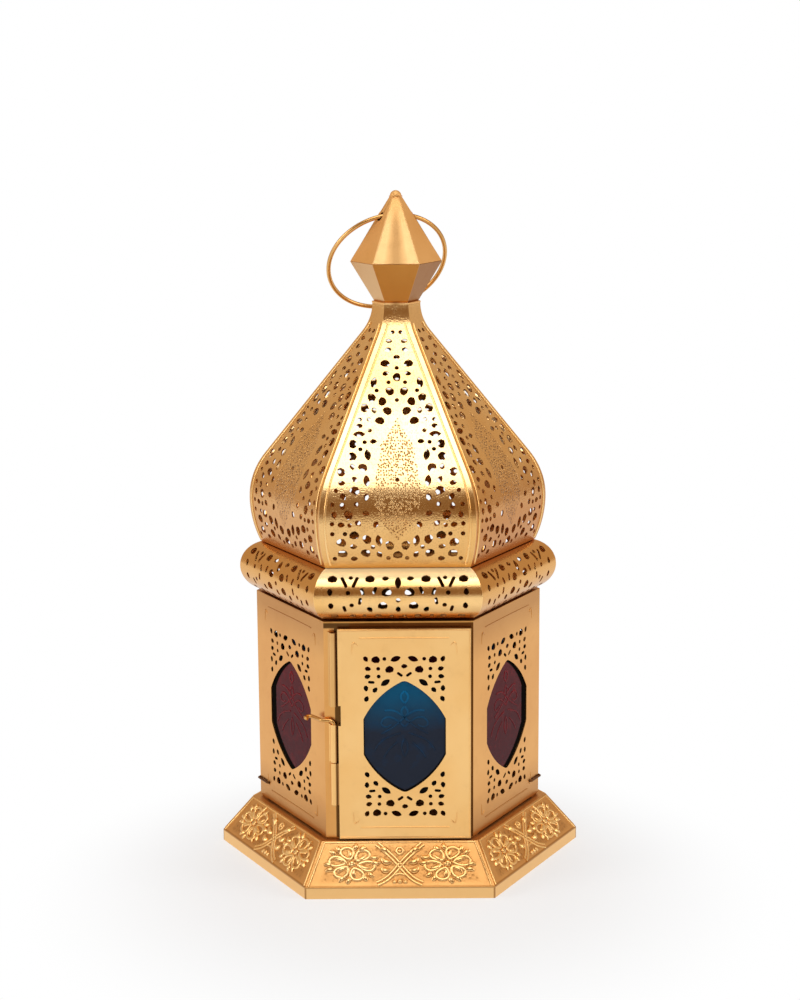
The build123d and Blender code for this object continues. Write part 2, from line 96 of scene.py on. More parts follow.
def mixed_colours(tree, factor, colour, other):
    """A colour mixed with another one. A factor of 1 gives the other."""
    node = add_node(tree, "ShaderNodeMix", data_type="RGBA")
    for socket, source in (("Factor", factor), ("A", colour), ("B", other)):
        join(tree, source, node.inputs[socket])
    return node.outputs["Result"]


def ramp(tree, value, stops):
    """A colour ramp from stops of place and colour."""
    node = add_node(tree, "ShaderNodeValToRGB")
    elements = node.color_ramp.elements
    while len(elements) < len(stops):
        elements.new(0.5)
    for element, (place, colour) in zip(elements, stops):
        element.position = place
        element.color = (*colour, 1)
    join(tree, value, node.inputs["Fac"])
    return node.outputs["Color"]


def noise(tree, vector, scale, detail, roughness=0.5):
    node = add_node(tree, "ShaderNodeTexNoise", {"Scale": scale, "Detail": detail, "Roughness": roughness})
    join(tree, vector, node.inputs["Vector"])
    return node.outputs["Fac"]


def object_place(tree):
    """Where a point is in its object, which is also its place in the lantern."""
    return add_node(tree, "ShaderNodeTexCoord").outputs["Object"]


def new_group(name, inputs, outputs):
    """An empty shader node group with named sockets, and its inner input and output nodes."""
    tree = bpy.data.node_groups.new(name, "ShaderNodeTree")
    for way, sockets in (("INPUT", inputs), ("OUTPUT", outputs)):
        for socket, kind in sockets:
            tree.interface.new_socket(socket, in_out=way, socket_type=kind)
    return tree, tree.nodes.new("NodeGroupInput"), tree.nodes.new("NodeGroupOutput")


def place_group(tree, group, values=None, **links):
    node = add_node(tree, "ShaderNodeGroup", values, node_tree=group)
    for socket, source in links.items():
        join(tree, source, node.inputs[socket])
    return node


def new_material(name):
    """A plain material, with its shader tree and its surface node."""
    material = bpy.data.materials.new(name)
    material.use_nodes = True
    return material, material.node_tree, material.node_tree.nodes["Principled BSDF"]


print("node helpers ready")

# %% [markdown]
# ## Where a point is on its side
# The same stamping repeats on all six sides. Folding the angle round the axis back to one side gives
# every point its distance across that side, its distance from the axis and its height. One finish then
# serves six pieces, and no piece needs a map of its own.

# %% Side coordinates group
side_group, side_in, side_out = new_group(
    "side_coordinates",
    [("Vector", "NodeSocketVector")],
    [("Across", "NodeSocketFloat"), ("Flat", "NodeSocketFloat"), ("Height", "NodeSocketFloat")],
)
spot = parts_of(side_group, side_in.outputs["Vector"])
toward_front = maths(side_group, "MULTIPLY", spot["Y"], -1.0)
angle = maths(side_group, "ARCTAN2", spot["X"], toward_front)
side_number = maths(side_group, "ROUND", maths(side_group, "DIVIDE", angle, SIDE_TURN))
folded = maths(side_group, "SUBTRACT", angle, maths(side_group, "MULTIPLY", side_number, SIDE_TURN))
squares = [maths(side_group, "POWER", maths(side_group, "ABSOLUTE", spot[axis]), 2.0) for axis in "XY"]
radius = maths(side_group, "SQRT", maths(side_group, "ADD", *squares))
for socket, function in (("Across", "SINE"), ("Flat", "COSINE")):
    leg = maths(side_group, "MULTIPLY", radius, maths(side_group, function, folded))
    join(side_group, leg, side_out.inputs[socket])
join(side_group, spot["Z"], side_out.inputs["Height"])


def side_of(tree, where):
    """A point's side coordinates: Across, Flat and Height."""
    return place_group(tree, side_group, Vector=where).outputs


print("group:", side_group.name, len(side_group.nodes), "nodes")

# %% [markdown]
# ## Gold lacquer
# Real gold lacquer on tinplate isn't one colour. It is paler where it is rubbed, deeper where the coat
# is thick, and browned in patches by handling. Three sizes of noise give that: broad clouds for the
# coat, small spots for the tarnish, and a very fine grain that only the bump sees.

# %% Gold lacquer group
gold_group, gold_in, gold_out = new_group(
    "gold_lacquer",
    [("Vector", "NodeSocketVector"), ("Pale", "NodeSocketColor"), ("Deep", "NodeSocketColor"),
     ("Tarnish", "NodeSocketFloat"), ("Clean Roughness", "NodeSocketFloat")],
    [("Color", "NodeSocketColor"), ("Roughness", "NodeSocketFloat"), ("Height", "NodeSocketFloat")],
)
TARNISH_BROWN = (0.20, 0.085, 0.022, 1)
place = gold_in.outputs["Vector"]
clouds = noise(gold_group, place, scale=32.0, detail=4.0)
spots = noise(gold_group, place, scale=210.0, detail=5.0, roughness=0.65)
grain = noise(gold_group, place, scale=2600.0, detail=2.0)
cloud_mask = map_range(gold_group, clouds, {"From Min": 0.36, "From Max": 0.66})
coat = mixed_colours(gold_group, cloud_mask, gold_in.outputs["Pale"], gold_in.outputs["Deep"])
spot_mask = map_range(gold_group, spots, {"From Min": 0.56, "From Max": 0.84})
tarnish = maths(gold_group, "MULTIPLY", spot_mask, gold_in.outputs["Tarnish"])
join(gold_group, mixed_colours(gold_group, tarnish, coat, TARNISH_BROWN), gold_out.inputs["Color"])
rubbed = maths(gold_group, "MULTIPLY", maths(gold_group, "SUBTRACT", spots, 0.5), 0.10)
rougher = maths(gold_group, "ADD", rubbed, maths(gold_group, "MULTIPLY", tarnish, 0.35))
roughness = maths(gold_group, "ADD", gold_in.outputs["Clean Roughness"], rougher)
join(gold_group, roughness, gold_out.inputs["Roughness"])
height = maths(gold_group, "ADD", grain, maths(gold_group, "MULTIPLY", spots, 0.6))
join(gold_group, height, gold_out.inputs["Height"])
print("group:", gold_group.name, len(gold_group.nodes), "nodes")

# %% [markdown]
# ## The gold finishes
# Each gold finish is the lacquer group with its own values. Most of them also have a ground: a function
# that tints the lacquer where it is browned or rubbed pale, and paints shade and highlights onto it. On
# the stamped sheets the ground also punches small dimples, kept to the part of the sheet that the stamp
# touched.

# %% Ground helpers
# The stamped brown and the hollow brown are used for real browning and for painted shade.
STAMPED_AND_SHADE_BROWN = (0.36, 0.15, 0.035, 1)
HOLLOW_AND_SHADE_BROWN = (0.24, 0.09, 0.02, 1)
# Painted shade: nearly black.
SHADOW_DARK = (0.05, 0.018, 0.004, 1)
RUBBED_GOLD = (0.95, 0.60, 0.25, 1)
# Painted highlight: a pale gold.
HIGHLIGHT_PALE = (1.0, 0.80, 0.44, 1)
# Painted reflection: a dull gold.
DARK_REFLECTION_GOLD = (0.50, 0.29, 0.115, 1)
# Painted shade: a brown gold, and on the next line a browner one.
SHADE_GOLD = (0.74, 0.38, 0.105, 1)
SIDE_SHADE_BROWN = (0.56, 0.235, 0.060, 1)
FAR = 1.0


def smooth_band(tree, value, low, high, soft):
    """1 between low and high, falling to 0 over soft outside them. A limit of FAR leaves an end open."""
    rise = map_range(tree, value, {"From Min": low - soft, "From Max": low})
    fall = map_range(tree, value, {"From Min": high, "From Max": high + soft, "To Min": 1.0, "To Max": 0.0})
    return maths(tree, "MULTIPLY", rise, fall)


def tinted(tree, colour, mask, strength, tint):
    """A colour mixed towards a tint under a mask."""
    return mixed_colours(tree, maths(tree, "MULTIPLY", mask, strength), colour, tint)


def punched(tree, where, colour, normal, mask, scale, strength):
    """Punch marks under a mask: a small round hollow in every cell, browned at its bottom."""
    cells = add_node(tree, "ShaderNodeTexVoronoi", {"Scale": scale, "Randomness": 0.7}, feature="F1")
    join(tree, where, cells.inputs["Vector"])
    level = map_range(tree, cells.outputs["Distance"], {"From Min": 0.22, "From Max": 0.46})
    hollow = maths(tree, "MULTIPLY", flipped(tree, level), mask)
    bump = add_node(tree, "ShaderNodeBump", {"Strength": strength, "Distance": 0.0003}, invert=True)
    join(tree, hollow, bump.inputs["Height"])
    join(tree, normal, bump.inputs["Normal"])
    return tinted(tree, colour, hollow, 0.9, HOLLOW_AND_SHADE_BROWN), bump.outputs["Normal"]


def front_masks(tree, where, side):
    """1 on the front side and 0 on the other five, and 1 on the right half of the lantern."""
    spot = parts_of(tree, where)
    off_front = maths(tree, "ADD", side["Flat"], spot["Y"])
    front = smooth_band(tree, off_front, -FAR, 0.1 * MM, 0.2 * MM)
    return front, maths(tree, "GREATER_THAN", spot["X"], 0.0)


def share_across(tree, side):
    """How far a point is from the middle of its side, as a share of half the side's width there."""
    half_width = maths(tree, "MULTIPLY", side["Flat"], HALF_SIDE)
    return maths(tree, "DIVIDE", maths(tree, "ABSOLUTE", side["Across"]), half_width)


print("ground helpers ready")

# %% [markdown]
# The large sheets come first, from the base up to the dome. The named limits of a ground are heights
# above the floor or distances on a side, in millimetres, but the motif's border and outline are shares.

# %% Grounds of the stamped and pierced sheets
RIM_EDGE, FOLD_EDGE = 4.6, 5.3
STAMP_FOOT, STAMP_TOP, STAMP_INSET = 7.4, 17.6, 6.0
UNSHADED_FOOT, UNSHADED_TOP = 24.0, 108.0
EAVE_UNDER, EAVE_HIGHLIGHT_FOOT = 114.5, 131.8
MOTIF_FOOT, MOTIF_TOP, MOTIF_BORDER = 145.0, 192.0, 0.84
MOTIF_OUTLINE = (
    (0.18, 0.21), (0.29, 0.29), (0.41, 0.32), (0.55, 0.305), (0.78, 0.29), (0.83, 0.20), (0.91, 0.11),
)
GORE_FOOT_TOP, GORE_SHADE_TOP, GORE_HIGHLIGHT_FOOT = 137.0, 150.0, 166.0
SHADE_LEFT, SHADE_MORE_RIGHT = 0.65, 0.3


def base_ground(tree, where, colour, normal):
    """The ground of the base's scroll, browned and beaten, and the pale rim with its dark seams, and a dark
    line along the fold that is painted shade.
    """
    side = side_of(tree, where)
    across = maths(tree, "ABSOLUTE", side["Across"])
    inside = maths(tree, "SUBTRACT", maths(tree, "MULTIPLY", side["Flat"], HALF_SIDE), across)
    border = smooth_band(tree, inside, STAMP_INSET * MM, FAR, 1.5 * MM)
    slope = smooth_band(tree, side["Height"], STAMP_FOOT * MM, STAMP_TOP * MM, 1.5 * MM)
    mask = maths(tree, "MULTIPLY", border, slope)
    rim = smooth_band(tree, side["Height"], 0.0, RIM_EDGE * MM, 0.5 * MM)
    fold = smooth_band(tree, side["Height"], RIM_EDGE * MM, FOLD_EDGE * MM, 0.3 * MM)
    seam = maths(tree, "MULTIPLY", rim, smooth_band(tree, inside, -FAR, 0.3 * MM, 0.4 * MM))
    # Painted shade: the dark line along the fold. The seams are dark joints.
    seams_and_fold_shade = maths(tree, "MAXIMUM", seam, maths(tree, "MULTIPLY", fold, 0.8))
    colour = tinted(tree, colour, slope, 0.10, STAMPED_AND_SHADE_BROWN)
    colour = tinted(tree, colour, mask, 0.28, STAMPED_AND_SHADE_BROWN)
    colour = tinted(tree, colour, rim, 1.0, RUBBED_GOLD)
    colour = tinted(tree, colour, seams_and_fold_shade, 0.8, STAMPED_AND_SHADE_BROWN)
    beaten = maths(tree, "MULTIPLY", mask, 0.45)
    return punched(tree, where, colour, normal, beaten, scale=620.0, strength=0.35)


def panel_ground(tree, where, colour, normal):
    """A flat panel: browner under the eave and along its foot, as painted shade."""
    height = side_of(tree, where)["Height"]
    # Painted shade: darker towards the top under the eave and towards the foot above the base.
    top = smooth_band(tree, height, UNSHADED_TOP * MM, FAR, 14.0 * MM)
    foot = smooth_band(tree, height, -FAR, UNSHADED_FOOT * MM, 14.0 * MM)
    return tinted(tree, colour, maths(tree, "ADD", top, foot), 0.55, STAMPED_AND_SHADE_BROWN), normal


def eave_ground(tree, where, colour, normal):
    """The eave: browner on the five sides other than the front and on its underside, as painted shade,
    and paler and less metallic along the front's top, as a painted highlight."""
    side = side_of(tree, where)
    front, _ = front_masks(tree, where, side)
    # Painted highlight: the front's top is paler and less metallic.
    top = maths(tree, "MULTIPLY", front, smooth_band(tree, side["Height"], EAVE_HIGHLIGHT_FOOT * MM, FAR, 2.4 * MM))
    under = smooth_band(tree, side["Height"], -FAR, EAVE_UNDER * MM, 6.0 * MM)
    metal_amount = flipped(tree, maths(tree, "MULTIPLY", top, 0.75))
    join(tree, metal_amount, tree.nodes["Principled BSDF"].inputs["Metallic"])
    # Painted shade: the sides other than the front, and the underside, are browner.
    colour = tinted(tree, colour, flipped(tree, front), 0.9, SHADE_GOLD)
    colour = tinted(tree, colour, top, 0.9, HIGHLIGHT_PALE)
    return tinted(tree, colour, under, 0.4, STAMPED_AND_SHADE_BROWN), normal


def gore_ground(tree, where, colour, normal):
    """The stippled motif in the middle of a gore: a tall pointed shape that narrows to a tip below.
    The foot of every gore is browner, and so is the bulge of every gore but the front one, most of all on
    the right, both as painted shade; the front one is paler above its bulge, as a painted highlight."""
    side = side_of(tree, where)
    share = share_across(tree, side)
    level = map_range(tree, side["Height"], {"From Min": MOTIF_FOOT * MM, "From Max": MOTIF_TOP * MM})
    outline = add_node(tree, "ShaderNodeFloatCurve")
    curve = outline.mapping.curves[0]
    curve.points[0].location = (0.0, 0.0)
    curve.points[1].location = (1.0, 0.0)
    for spot in MOTIF_OUTLINE:
        curve.points.new(*spot)
    for point in curve.points:
        point.handle_type = "VECTOR"
    outline.mapping.update()
    join(tree, level, outline.inputs["Value"])
    inside = maths(tree, "SUBTRACT", outline.outputs["Value"], share)
    edge = map_range(tree, inside, {"From Min": 0.0, "From Max": 0.02, "To Min": 0.12})
    motif = maths(tree, "MULTIPLY", edge, smooth_band(tree, share, -FAR, MOTIF_BORDER, 0.04))
    # Painted shade: the foot of each gore is browner.
    foot = smooth_band(tree, side["Height"], -FAR, GORE_FOOT_TOP * MM, 24.0 * MM)
    front, right = front_masks(tree, where, side)
    bulge = smooth_band(tree, side["Height"], -FAR, GORE_SHADE_TOP * MM, 22.0 * MM)
    shade = maths(tree, "MULTIPLY", flipped(tree, front), bulge)
    depth = maths(tree, "ADD", SHADE_LEFT, maths(tree, "MULTIPLY", right, SHADE_MORE_RIGHT))
    # Painted highlight: the front gore is paler above its bulge.
    upper = smooth_band(tree, side["Height"], GORE_HIGHLIGHT_FOOT * MM, MOTIF_TOP * MM, 10.0 * MM)
    colour = tinted(tree, colour, maths(tree, "MULTIPLY", front, upper), 0.38, HIGHLIGHT_PALE)
    colour = tinted(tree, colour, foot, 0.75, SHADE_GOLD)
    colour = tinted(tree, colour, shade, depth, SIDE_SHADE_BROWN)
    colour = tinted(tree, colour, motif, 0.16, STAMPED_AND_SHADE_BROWN)
    return punched(tree, where, colour, normal, motif, scale=1050.0, strength=0.7)


print("grounds ready: base, panel, eave, gore")

# %% [markdown]
# The finial is paler or browner face by face, as painted highlight, reflection and shade. The strips
# round the doorway are dark where the door, the hinge and the eave shade them, as painted shade.

# %% Grounds of the finial and the doorway
CAP_TIP = 266.0
JAMB_SHADE_FOOT, JAMB_HIDDEN = 109.6, -25.6
CROWN_EDGE = 49.0
UPPER_ROLL_FOOT, ROLL_TURN = 76.0, -25.5


def finial_ground(tree, where, colour, normal):
    """The finial: its front face is paler along the ridges, a painted highlight, and duller in the middle, a
    painted reflection.
    """
    side = side_of(tree, where)
    front, _ = front_masks(tree, where, side)
    below_tip = smooth_band(tree, side["Height"], 0.0, CAP_TIP * MM, 8.0 * MM)
    face = maths(tree, "MULTIPLY", front, below_tip)
    middle = smooth_band(tree, share_across(tree, side), -FAR, 0.10, 0.45)
    ridges = flipped(tree, middle)
    # Painted highlight on the ridges of the front face, and a painted reflection, duller, in its middle.
    colour = tinted(tree, colour, maths(tree, "MULTIPLY", ridges, face), 0.35, HIGHLIGHT_PALE)
    return tinted(tree, colour, maths(tree, "MULTIPLY", middle, face), 0.75, DARK_REFLECTION_GOLD), normal


def cup_ground(tree, where, colour, normal):
    """The finial's cup: paler on the left of its front face, as painted light, and browner on the right, as
    painted shade.
    """
    front, right = front_masks(tree, where, side_of(tree, where))
    turned = flipped(tree, front)
    left_turned = maths(tree, "MULTIPLY", turned, flipped(tree, right))
    # Painted light on the left, and painted shade on the right.
    colour = tinted(tree, colour, left_turned, 0.28, HIGHLIGHT_PALE)
    return tinted(tree, colour, maths(tree, "MULTIPLY", turned, right), 0.65, HOLLOW_AND_SHADE_BROWN), normal


def jamb_ground(tree, where, colour, normal):
    """The left jamb: dark above the door, like the head beside it, and where the hinge hides it, as painted
    shade.
    """
    side = side_of(tree, where)
    # Painted shade above the door and behind the hinge.
    top = smooth_band(tree, side["Height"], JAMB_SHADE_FOOT * MM, FAR, 0.6 * MM)
    hidden = smooth_band(tree, side["Across"], JAMB_HIDDEN * MM, FAR, 0.4 * MM)
    return tinted(tree, colour, maths(tree, "MAXIMUM", top, hidden), 0.9, SHADOW_DARK), normal


def crown_ground(tree, where, colour, normal):
    """The crown plate: a little darker along the edge that shows under the eave, as painted shade."""
    # Painted shade along the edge under the eave.
    edge = smooth_band(tree, side_of(tree, where)["Flat"], CROWN_EDGE * MM, FAR, 1.0 * MM)
    return tinted(tree, colour, edge, 0.15, SHADOW_DARK), normal


def roll_ground(tree, where, colour, normal):
    """The hinge's rolls: dark where they turn in beside the door, and the long upper one browner, both as
    painted shade.
    """
    side = side_of(tree, where)
    upper = smooth_band(tree, side["Height"], UPPER_ROLL_FOOT * MM, FAR, 1.0 * MM)
    turned = smooth_band(tree, side["Across"], ROLL_TURN * MM, FAR, 0.4 * MM)
    # Painted shade on the upper roll and where the rolls turn in beside the door.
    colour = tinted(tree, colour, upper, 0.32, STAMPED_AND_SHADE_BROWN)
    return tinted(tree, colour, turned, 0.85, HOLLOW_AND_SHADE_BROWN), normal


print("grounds ready: finial, cup, jamb, crown, roll")

# %% [markdown]
# Each row below is one finish: its tarnish, the roughness of the clean coat, the pale and the deep colour
# of the lacquer, and its ground where it has one.

# %% Gold materials
def gold_material(name, tarnish, roughness, pale, deep, ground=None):
    """Gold lacquer, with an optional ground: a function that changes its colour and its normal."""
    material, tree, surface = new_material(name)
    surface.inputs["Metallic"].default_value = 1.0
    where = object_place(tree)
    values = {"Pale": (*pale, 1), "Deep": (*deep, 1), "Tarnish": tarnish, "Clean Roughness": roughness}
    lacquer = place_group(tree, gold_group, values, Vector=where)
    join(tree, lacquer.outputs["Roughness"], surface.inputs["Roughness"])
    bump = add_node(tree, "ShaderNodeBump", {"Strength": 0.12, "Distance": 0.0002})
    join(tree, lacquer.outputs["Height"], bump.inputs["Height"])
    colour, normal = lacquer.outputs["Color"], bump.outputs["Normal"]
    if ground:
        colour, normal = ground(tree, where, colour, normal)
    join(tree, colour, surface.inputs["Base Color"])
    join(tree, normal, surface.inputs["Normal"])
    return material


GOLD_FINISHES = (
    ("eave", "half-round eave sheet", 0.15, 0.24, (0.97, 0.62, 0.26), (0.90, 0.51, 0.165), eave_ground),
    ("door", "door gold sheet", 0.08, 0.30, (0.97, 0.605, 0.24), (0.93, 0.54, 0.19)),
    # Painted shade: the panel gold is a darker copy of the door gold, for the sides that face away from the
    # front.
    ("panel", "panel gold sheet", 0.12, 0.30, (0.78, 0.395, 0.112), (0.72, 0.34, 0.088), panel_ground),
    ("base", "stamped base sheet", 0.15, 0.42, (0.74, 0.41, 0.145), (0.68, 0.35, 0.115), base_ground),
    ("gore", "pierced dome sheet", 0.20, 0.23, (0.97, 0.65, 0.30), (0.90, 0.54, 0.20), gore_ground),
    ("finial", "satin finial sheet", 0.12, 0.56, (0.90, 0.56, 0.23), (0.82, 0.47, 0.165), finial_ground),
    ("cup", "finial cup sheet", 0.15, 0.34, (0.56, 0.25, 0.055), (0.48, 0.19, 0.035), cup_ground),
    ("relief", "raised gold scroll", 0.08, 0.28, (0.96, 0.64, 0.28), (0.90, 0.54, 0.19)),
    # Painted shade: the crown plate is a brown gold where it lies under the eave.
    ("crown", "crown plate in painted shade", 0.5, 0.38, (0.74, 0.37, 0.10), (0.54, 0.24, 0.06), crown_ground),
    ("jamb", "left jamb strip", 0.12, 0.30, (0.79, 0.405, 0.128), (0.73, 0.35, 0.10), jamb_ground),
    ("roll", "rolled jamb edge", 0.08, 0.30, (0.97, 0.605, 0.24), (0.93, 0.54, 0.19), roll_ground),
    # Painted shade: the strips beside, above and below the door are nearly black.
    ("shaded", "doorway strip in painted shade", 0.6, 0.45, (0.15, 0.055, 0.012), (0.10, 0.035, 0.008)),
    ("wire", "gold wire", 0.25, 0.30, (0.80, 0.47, 0.17), (0.62, 0.33, 0.10)),
    ("tie", "dark tie wire", 0.6, 0.45, (0.22, 0.10, 0.035), (0.12, 0.05, 0.018)),
    ("inside", "inner tinplate", 0.6, 0.42, (0.50, 0.27, 0.09), (0.34, 0.16, 0.045)),
)
gold = {key: gold_material(*values) for key, *values in GOLD_FINISHES}
print("gold finishes:", ", ".join(gold))

# %% [markdown]
# ## Coloured glass
# The panes are pressed glass, dyed through. The blue ones are greener and lighter at the top, and the red
# ones are a dark wine, also lighter at the top; the lighter tops are painted light through the glass.
# Streaks in the melt and a soft ripple on the face break the reflections up, so the pane reads as old
# glass and not as plastic. Outside the window a pane is painted black as painted shade, along a line that
# follows the window's upright sides and bowed arches. The painted shade shows a little inside the lower
# edge, and on the side panes along the edge that is furthest from the door.

# %% Glass materials
WINDOW_Z, WINDOW_SIDE, DOOR_SHIFT, SIDE_STRETCH = 64.6, 16.6, 2.3, 1.09
ARCH_X, ARCH_Z, ARCH_RADIUS = 14.5, 7.7, 34.6
# Painted shade: the black outside the window, and how far it reaches inside the lower and side edges.
WINDOW_SHADE_BLACK = (0.006, 0.005, 0.004, 1)
WINDOW_SHADE_LIFT, WINDOW_SHADE_EDGE, WINDOW_SHADE_SOFT, SIDE_SHADE_SHIFT = 0.8, 0.3, 0.3, 3.2
GLASS_FOOT, GLASS_TOP, GLASS_IOR = 40.0, 88.0, 1.30


def window_shade_mask(tree, where, shift, stretch):
    """1 where a pane is painted black as painted shade, outside the window's pointed outline."""
    side = side_of(tree, where)
    away = side["Across"]
    if stretch != 1.0:
        # A side pane is measured away from the middle of the lantern, so the shift is mirrored.
        away = maths(tree, "MULTIPLY", away, maths(tree, "SIGN", parts_of(tree, where)["X"]))
    away = maths(tree, "ABSOLUTE", maths(tree, "SUBTRACT", away, shift * MM))
    across = maths(tree, "DIVIDE", away, stretch)
    middle = (WINDOW_Z + WINDOW_SHADE_LIFT) * MM
    up = maths(tree, "ABSOLUTE", maths(tree, "SUBTRACT", side["Height"], middle))
    legs = [maths(tree, "ADD", across, ARCH_X * MM), maths(tree, "ADD", up, ARCH_Z * MM)]
    squares = [maths(tree, "MULTIPLY", leg, leg) for leg in legs]
    reach = maths(tree, "SQRT", maths(tree, "ADD", *squares))
    outside_arch = smooth_band(tree, reach, ARCH_RADIUS * MM, FAR, WINDOW_SHADE_SOFT * MM)
    outside_side = smooth_band(tree, across, (WINDOW_SIDE - WINDOW_SHADE_EDGE) * MM, FAR, WINDOW_SHADE_SOFT * MM)
    return maths(tree, "MAXIMUM", outside_arch, outside_side)


def glass_material(name, foot_colour, top_colour, streak_colour, shift=-SIDE_SHADE_SHIFT, stretch=SIDE_STRETCH):
    """Pressed glass from a foot colour to a top colour, streaked and rippled, with painted shade round it."""
    material, tree, surface = new_material(name)
    surface.inputs["IOR"].default_value = GLASS_IOR
    where = object_place(tree)
    height = side_of(tree, where)["Height"]
    level = map_range(tree, height, {"From Min": GLASS_FOOT * MM, "From Max": GLASS_TOP * MM})
    ripple = noise(tree, where, scale=60.0, detail=4.0)
    wave = maths(tree, "MULTIPLY", maths(tree, "SUBTRACT", ripple, 0.5), 0.25)
    wavy = maths(tree, "ADD", level, wave)
    # Painted light: the pane grows lighter towards its top.
    body = ramp(tree, wavy, ((0.0, foot_colour), (0.55, foot_colour), (1.0, top_colour)))
    streaks = noise(tree, where, scale=190.0, detail=6.0, roughness=0.6)
    streak_mask = map_range(tree, streaks, {"From Min": 0.5, "From Max": 0.8, "To Max": 0.5})
    streaked = mixed_colours(tree, streak_mask, body, (*streak_colour, 1))
    window_shade = window_shade_mask(tree, where, shift, stretch)
    join(tree, mixed_colours(tree, window_shade, streaked, WINDOW_SHADE_BLACK), surface.inputs["Base Color"])
    clear = flipped(tree, window_shade)
    for socket, amount in (("Transmission Weight", 0.25), ("Specular IOR Level", 0.04)):
        join(tree, maths(tree, "MULTIPLY", clear, amount), surface.inputs[socket])
    rough = map_range(tree, streaks, {"To Min": 0.12, "To Max": 0.28})
    join(tree, rough, surface.inputs["Roughness"])
    bump = add_node(tree, "ShaderNodeBump", {"Strength": 0.25, "Distance": 0.0006})
    join(tree, maths(tree, "ADD", ripple, maths(tree, "MULTIPLY", streaks, 0.4)), bump.inputs["Height"])
    join(tree, bump.outputs["Normal"], surface.inputs["Normal"])
    return material


BLUES = ((0.022, 0.028, 0.046), (0.001, 0.11, 0.23), (0.003, 0.045, 0.12))
REDS = ((0.080, 0.006, 0.010), (0.12, 0.006, 0.009), (0.26, 0.006, 0.008))
# Painted highlight: the raised lines are a brighter copy of the pane's glass.
VINE_BLUES = ((0.018, 0.032, 0.060), (0.001, 0.18, 0.40), (0.003, 0.06, 0.17))
VINE_REDS = ((0.15, 0.006, 0.011), (0.24, 0.007, 0.011), (0.30, 0.008, 0.010))
glass = {
    "blue": glass_material("blue pressed glass", *BLUES),
    "red": glass_material("wine red pressed glass", *REDS),
    "door": glass_material("blue pressed glass of the door", *BLUES, DOOR_SHIFT, 1.0),
    "blue vine": glass_material("raised lines in blue glass", *VINE_BLUES),
    "red vine": glass_material("raised lines in red glass", *VINE_REDS),
    "door vine": glass_material("raised lines in the door's glass", *VINE_BLUES, DOOR_SHIFT, 1.0),
}
print("glass finishes:", ", ".join(glass))

# %% [markdown]
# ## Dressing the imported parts
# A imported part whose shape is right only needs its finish. The name of a part says which finish it has,
# so one loop dresses them all.

# %% Assign the finishes
FINISHES = (
    ("base_panel", gold["base"]), ("dome_gore", gold["gore"]), ("eave_strip", gold["eave"]),
    ("finial_cup", gold["cup"]), ("finial_cap", gold["finial"]), ("neck_plate", gold["finial"]),
    ("door_panel", gold["door"]), ("door_knuckle", gold["roll"]), ("jamb_rolls", gold["roll"]),
    ("carry_ring", gold["wire"]),
    ("door_jamb_left", gold["jamb"]), ("door_jamb_right", gold["shaded"]),
    ("door_head", gold["shaded"]), ("door_sill", gold["shaded"]),
    ("crown_plate", gold["crown"]), ("corner_post", gold["inside"]),
    ("hinge_pin", gold["wire"]), ("corner_ties", gold["tie"]), ("floor_plate", gold["inside"]),
    ("candle_cup", gold["inside"]), ("door_catch", gold["inside"]), ("glass_clips", gold["inside"]),
)


def finish_of(name):
    """The finish that goes with a part's name."""
    if name == "glass_pane_front":
        return glass["door"]
    if name.startswith("glass_pane_"):
        return glass["red" if SIDES.index(name[len("glass_pane_"):]) % 2 else "blue"]
    return next((material for start, material in FINISHES if name.startswith(start)), gold["panel"])


for name, node in nodes.items():
    node.data.materials.clear()
    node.data.materials.append(finish_of(name))
print("dressed:", len(nodes), "parts")

# %% [markdown]
# ## Soft edges on the finial
# Folded sheet has no razor edges. Weld joins the part's loose triangles, and Bevel then rounds the
# finial's ridges by under a millimetre, which is what catches the light along them. The cap's rounding
# isn't held back at short edges, so it opens a fine dark seam where the cap sits on the cup.

# %% Round the finial's ridges
WELD_DISTANCE = 0.00001
# Each row: the part, the width in mm, the least angle in degrees, and if short edges hold it back.
SOFT_EDGES = (
    ("finial_cap", 0.4, 40, False), ("finial_cup", 0.7, 50, True), ("neck_plate", 0.25, 50, True),
)
for name, width, least_angle, clamped in SOFT_EDGES:
    weld = nodes[name].modifiers.new("weld", "WELD")
    weld.merge_threshold = WELD_DISTANCE
    bevel = nodes[name].modifiers.new("soft_edges", "BEVEL")
    bevel.width = width * MM
    bevel.segments = 3
    bevel.limit_method = "ANGLE"
    bevel.angle_limit = radians(least_angle)
    bevel.use_clamp_overlap = clamped
print("rounded:", ", ".join(name for name, *_ in SOFT_EDGES))

# %% [markdown]
# ## Drawing raised lines
# Stamped relief is drawn as strokes: short smooth curves whose thickness swells and tapers. Each stroke
# is a round curve, made a mesh, flattened and laid on its face, so only its back stands out of the
# sheet. That gives real relief that catches light from any side, with very little work per leaf.

# %% Stroke helpers
def place_object(name, data):
    """A new object in the scene."""
    thing = bpy.data.objects.new(name, data)
    bpy.context.scene.collection.objects.link(thing)
    return thing


